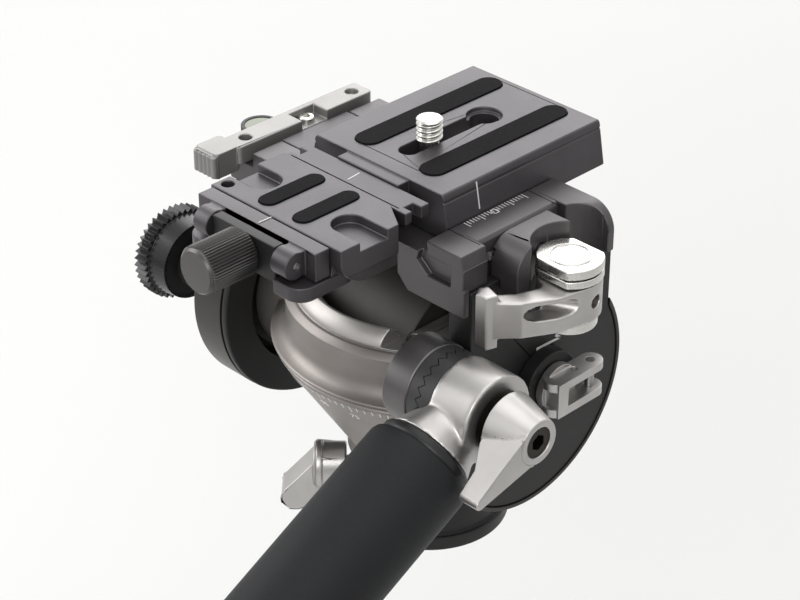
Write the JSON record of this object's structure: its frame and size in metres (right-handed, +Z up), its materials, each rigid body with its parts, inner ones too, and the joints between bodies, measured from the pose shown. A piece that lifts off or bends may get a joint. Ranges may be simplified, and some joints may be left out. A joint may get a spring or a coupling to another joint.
{
  "type": "fluid video head",
  "caption": "Compact fluid pan and tilt video head with a sliding camera plate, a cam-lever side clamp, drag dial, locks and a padded pan handle on a toothed rosette.",
  "frame": {"origin": "centre of the tripod seat, on the pan axis, where the tripod's thread enters the base", "axes": "+Z up along the pan axis, +Y forward in the viewing direction, +X to the operator's right (handle side)"},
  "size_m": [0.142, 0.2578, 0.1485],
  "materials": {
    "black_metal": "matt black anodised",
    "dark_metal": "satin dark grey anodised",
    "bowl_metal": "satin titanium grey",
    "satin_metal": "bead-blasted silver",
    "bright_metal": "polished",
    "steel": "turned",
    "bronze": "turned",
    "damper": "matt",
    "pad_rubber": "matt",
    "grip_rubber": "matt",
    "vial_glass": "clear"
  },
  "bodies": {
    "base": {"base_body": "black_metal", "base_plug": "satin_metal", "pan_bushing": "bronze", "pan_drag_stator": "damper"},
    "pan_lock": {"pan_lock_knob": "satin_metal", "pan_lock_stud": "steel"},
    "pan": {"bowl": "bowl_metal", "pan_spindle": "steel", "pan_drag_rotor": "damper", "tilt_bushings": "bronze", "spring_drum": "black_metal", "counter_spring": "steel", "tilt_drag_stator": "damper", "rim_screws": "steel"},
    "tilt": {"tilt_shaft": "steel", "right_side": "black_metal", "right_rim": "satin_metal", "left_drum": "black_metal", "left_rim": "satin_metal", "left_cover": "black_metal", "tilt_drag_rotor": "damper", "platform": "dark_metal", "scale_jaw": "dark_metal", "cam_seat": "black_metal", "deck_screws": "steel", "level_cup": "black_metal", "level_vial": "vial_glass", "tilt_lock_boss": "black_metal", "handle_mount": "dark_metal", "fixed_rosette": "black_metal", "handle_stud": "steel", "bar_pin": "steel"},
    "dial": {"drag_dial": "dark_metal", "dial_face": "black_metal"},
    "tilt_lock": {"tilt_lock_lever": "satin_metal", "tilt_lock_pin": "steel"},
    "clamp": {"left_jaw": "dark_metal", "draw_bar": "steel", "lever_yoke": "bright_metal"},
    "lever": {"clamp_lever": "satin_metal"},
    "release": {"release_bar": "satin_metal"},
    "plate": {"camera_plate": "dark_metal", "plate_pads": "pad_rubber", "rear_bridge": "dark_metal", "rear_base": "dark_metal", "rear_pads": "pad_rubber"},
    "screw_carrier": {"screw_washer": "bright_metal"},
    "screw": {"camera_screw": "bright_metal"},
    "jaw": {"rear_jaw": "dark_metal", "rear_block": "black_metal", "rear_pins": "steel"},
    "knob": {"rear_knob": "black_metal", "rear_stud": "steel"},
    "handle": {"handle_clamp": "satin_metal", "handle_rosette": "black_metal", "handle_tube": "steel", "handle_grip": "grip_rubber"},
    "wing": {"wing_lever": "satin_metal", "wing_screw": "steel"}
  },
  "joints": [
    {"name": "pan_turn", "type": "hinge", "parent": "base", "child": "pan", "pos_m": [0, 0, 0.02], "axis": [0, 0, 1], "continuous": true},
    {"name": "pan_lock_turn", "type": "hinge", "parent": "base", "child": "pan_lock", "pos_m": [0, 0, 0.012], "axis": [-0.7071, -0.7071, 0], "range_deg": [-45, 45]},
    {"name": "tilt_turn", "type": "hinge", "parent": "pan", "child": "tilt", "pos_m": [0, 0, 0.0497], "axis": [1, 0, 0], "range_deg": [-50, 45]},
    {"name": "drag_dial_turn", "type": "hinge", "parent": "tilt", "child": "dial", "pos_m": [-0.07, -0.0185, 0.0515], "axis": [1, 0, 0], "range_deg": [-135, 135]},
    {"name": "tilt_lock_turn", "type": "hinge", "parent": "tilt", "child": "tilt_lock", "pos_m": [0.04, 0.0015, 0.054], "axis": [1, 0, 0], "range_deg": [-60, 60]},
    {"name": "clamp_slide", "type": "slide", "parent": "tilt", "child": "clamp", "axis": [1, 0, 0], "range_m": [-0.0008, 0]},
    {"name": "clamp_lever_turn", "type": "hinge", "parent": "clamp", "child": "lever", "pos_m": [0.045, -0.001, 0.083], "axis": [0, 0, 1], "range_deg": [0, 110]},
    {"name": "release_turn", "type": "hinge", "parent": "tilt", "child": "release", "pos_m": [-0.0406, 0.013, 0.096], "axis": [0, 0, 1], "range_deg": [-10, 0], "stiffness_Nm_per_rad": 0.05, "springref_deg": 5.73},
    {"name": "plate_slide", "type": "slide", "parent": "tilt", "child": "plate", "axis": [0, 1, 0], "range_m": [-0.02, 0.012]},
    {"name": "screw_slide", "type": "slide", "parent": "plate", "child": "screw_carrier", "axis": [0, 1, 0], "range_m": [-0.006, 0.013]},
    {"name": "camera_screw_turn", "type": "hinge", "parent": "screw_carrier", "child": "screw", "pos_m": [0, -0.0005, 0.1], "axis": [0, 0, 1], "continuous": true},
    {"name": "rear_jaw_slide", "type": "slide", "parent": "plate", "child": "jaw", "axis": [0, 1, 0], "range_m": [-0.004, 0]},
    {"name": "rear_knob_turn", "type": "hinge", "parent": "jaw", "child": "knob", "pos_m": [0.0008, -0.067, 0.0993], "axis": [0, 1, 0], "range_deg": [0, 1800]},
    {"name": "handle_turn", "type": "hinge", "parent": "tilt", "child": "handle", "pos_m": [0.0478, -0.033, 0.0675], "axis": [1, 0, 0], "range_deg": [-60, 30]},
    {"name": "wing_turn", "type": "hinge", "parent": "handle", "child": "wing", "pos_m": [0.06, -0.033, 0.0675], "axis": [1, 0, 0], "continuous": true}
  ],
  "couplings": [
    {"joint": "clamp_lever_turn", "follows": "clamp_slide", "rad_per_m": -2399.8},
    {"joint": "rear_knob_turn", "follows": "rear_jaw_slide", "rad_per_m": -7853}
  ]
}
